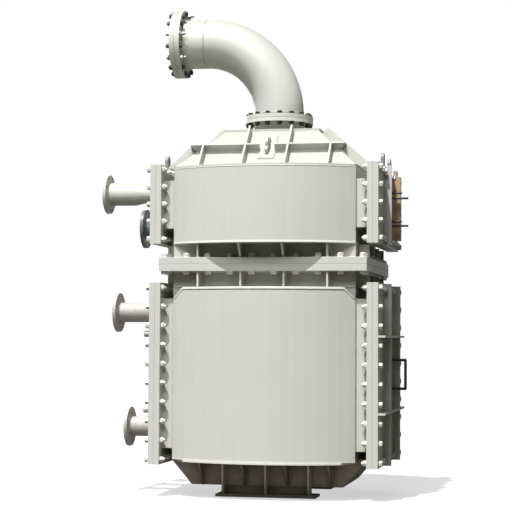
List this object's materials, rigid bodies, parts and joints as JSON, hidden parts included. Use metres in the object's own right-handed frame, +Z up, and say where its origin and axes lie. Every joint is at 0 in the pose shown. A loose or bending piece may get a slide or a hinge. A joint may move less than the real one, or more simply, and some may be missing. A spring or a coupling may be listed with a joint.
{
  "type": "finned tube heat exchanger",
  "caption": "Two-storey finned tube gas cooler in welded plate, with curved shell plates, bolted side covers, flanged water nozzles, a stiffened hood and a flanged gas elbow.",
  "frame": {"origin": "on the floor, midway between the four anchor holes, under the middle of the shells", "axes": "+Z up, +X along the tubes towards the plain covers, the water nozzles and the elbow point to -X, -Y is the front"},
  "size_m": [2.145, 1.496, 3.481],
  "materials": {
    "paint": "semi-matt light warm grey paint",
    "bare_metal": "bright bare metal",
    "slate_paint": "slate grey primer",
    "timber": "rough sawn softwood",
    "black_steel": "black oxide steel",
    "gasket": "grey fibre sheet"
  },
  "bodies": {
    "root": {"foot_front": "paint", "foot_rear": "paint", "drain_pan": "paint", "pan_ribs": "paint", "bottom_plate": "paint", "lower_front_plate": "paint", "lower_rear_plate": "paint", "lower_side_plates": "paint", "lower_rim_plate": "paint", "side_necks": "paint", "lower_tube_sheets": "paint", "lower_left_cover": "paint", "lower_right_cover": "paint", "lower_cover_ribs": "paint", "lower_cover_handle": "black_steel", "lower_collar": "paint", "collar_gussets": "paint", "middle_flange_lower": "paint", "middle_flange_upper": "paint", "upper_collar": "paint", "upper_floor_plate": "paint", "upper_front_plate": "paint", "upper_rear_plate": "paint", "upper_side_plates": "paint", "upper_rim_plate": "paint", "upper_tube_sheets": "paint", "upper_left_cover": "paint", "upper_right_cover": "paint", "upper_cover_rib": "paint", "timber_battens": "timber", "clamp_studs": "black_steel", "cover_lugs": "paint", "hood": "paint", "hood_ribs": "paint", "hood_ring": "paint", "hood_lugs": "paint", "roof_nozzle": "paint", "elbow_flange": "paint", "elbow_bend": "paint", "elbow_spool": "paint", "blanking_plate": "paint", "upper_water_outlet": "paint", "upper_water_inlet": "slate_paint", "lower_water_outlet": "bare_metal", "lower_water_inlet": "bare_metal", "vent_couplings": "bare_metal", "gaskets": "gasket"}
  },
  "joints": []
}
